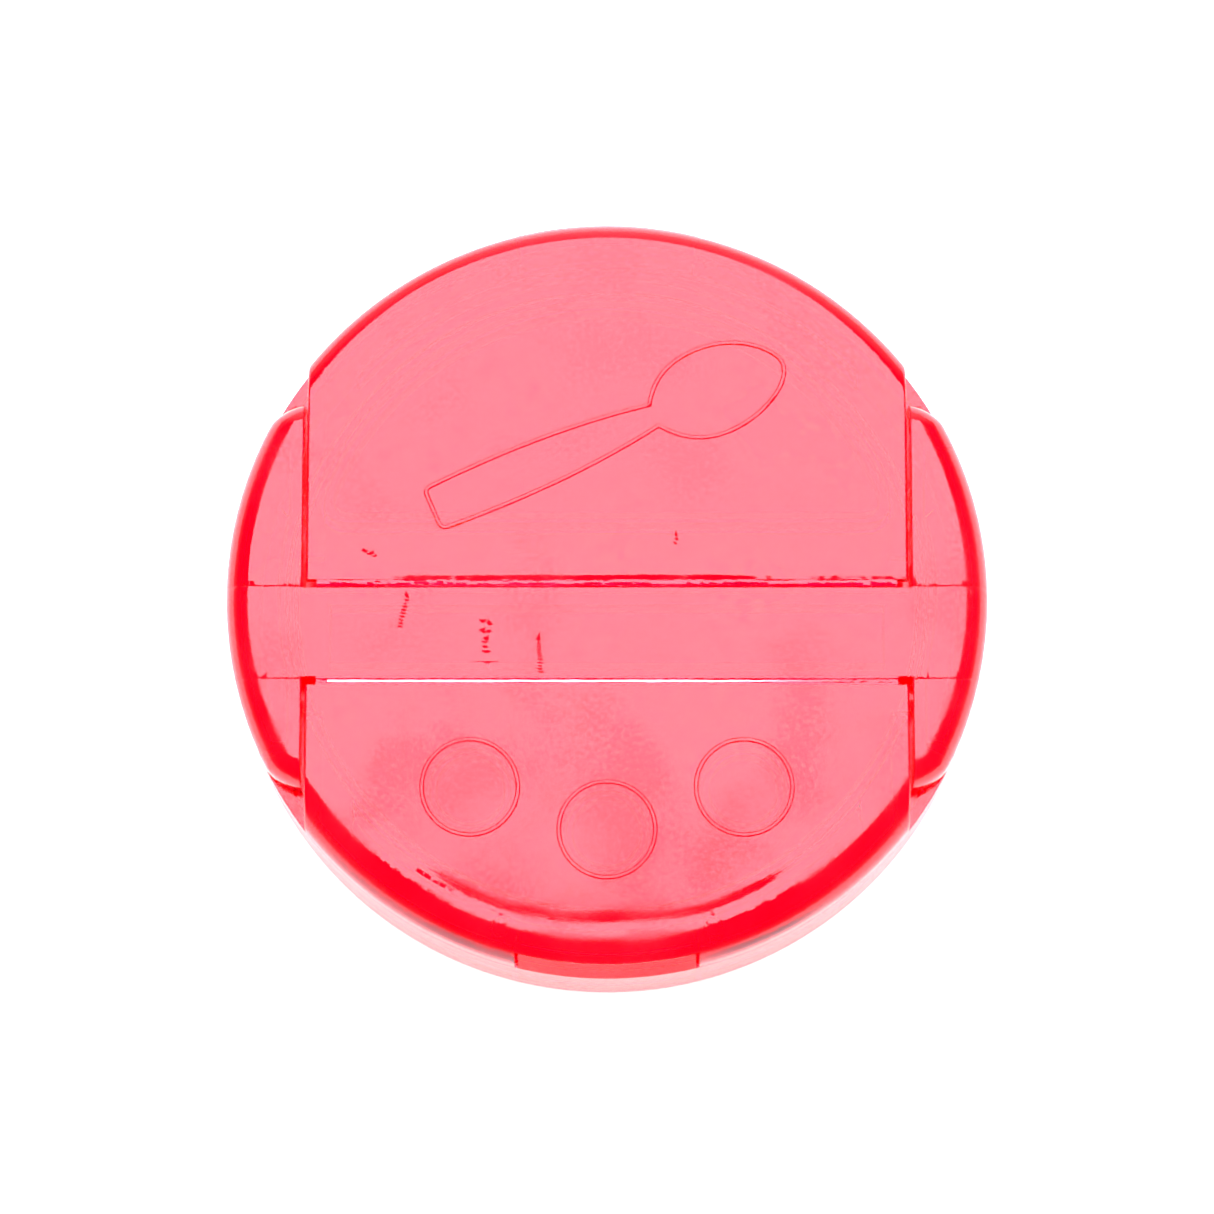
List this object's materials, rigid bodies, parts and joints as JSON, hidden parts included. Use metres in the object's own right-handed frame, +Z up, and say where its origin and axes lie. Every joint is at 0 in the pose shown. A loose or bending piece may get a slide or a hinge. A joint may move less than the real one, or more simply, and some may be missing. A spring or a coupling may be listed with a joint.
{
  "type": "dual-flap dispensing cap",
  "caption": "Round screw-on jar cap in clear red plastic with a flap over shaker holes, a flap over a spoon opening, and a fixed bridge between them.",
  "frame": {"origin": "centre of the skirt's bottom rim, on the surface that the cap stands on", "axes": "+Z up along the cap's axis; -Y towards the flap over the shaker holes; +Y towards the flap over the spoon opening"},
  "size_m": [0.066, 0.066, 0.0152],
  "materials": {
    "clear_red": "glossy, transparent, dyed through, lightly scuffed",
    "flexed_red": "thin and paled by flexing"
  },
  "bodies": {
    "base": {"skirt": "clear_red", "thread_rib": "clear_red", "deck": "clear_red", "jar_seal_ring": "clear_red", "bridge": "clear_red", "rear_left_lobe": "clear_red", "rear_right_lobe": "clear_red", "front_left_lobe": "clear_red", "front_right_lobe": "clear_red", "front_latch_wall": "clear_red", "rear_latch_wall": "clear_red", "front_hinge_web": "flexed_red", "rear_hinge_web": "flexed_red"},
    "front_flap": {"front_flap_panel": "clear_red", "front_flap_rim_left": "clear_red", "front_flap_rim_right": "clear_red", "front_finger_lip": "clear_red", "front_seal_rib": "clear_red", "front_snap_lug_left": "clear_red", "front_snap_lug_right": "clear_red", "hole_plug_left": "clear_red", "hole_plug_middle": "clear_red", "hole_plug_right": "clear_red", "hole_icon_left": "clear_red", "hole_icon_middle": "clear_red", "hole_icon_right": "clear_red"},
    "rear_flap": {"rear_flap_panel": "clear_red", "rear_flap_rim_left": "clear_red", "rear_flap_rim_right": "clear_red", "rear_finger_lip": "clear_red", "rear_seal_rib": "clear_red", "rear_snap_lug_left": "clear_red", "rear_snap_lug_right": "clear_red", "spoon_opening_plug": "clear_red", "spoon_icon": "clear_red"}
  },
  "joints": [
    {"name": "front_flap_hinge", "type": "hinge", "parent": "base", "child": "front_flap", "pos_m": [0, -0.0078, 0.01485], "axis": [-1, 0, 0], "range_deg": [0, 95], "deforming": ["front_hinge_web"]},
    {"name": "rear_flap_hinge", "type": "hinge", "parent": "base", "child": "rear_flap", "pos_m": [0, 0.00075, 0.01485], "axis": [1, 0, 0], "range_deg": [0, 95], "deforming": ["rear_hinge_web"]}
  ]
}
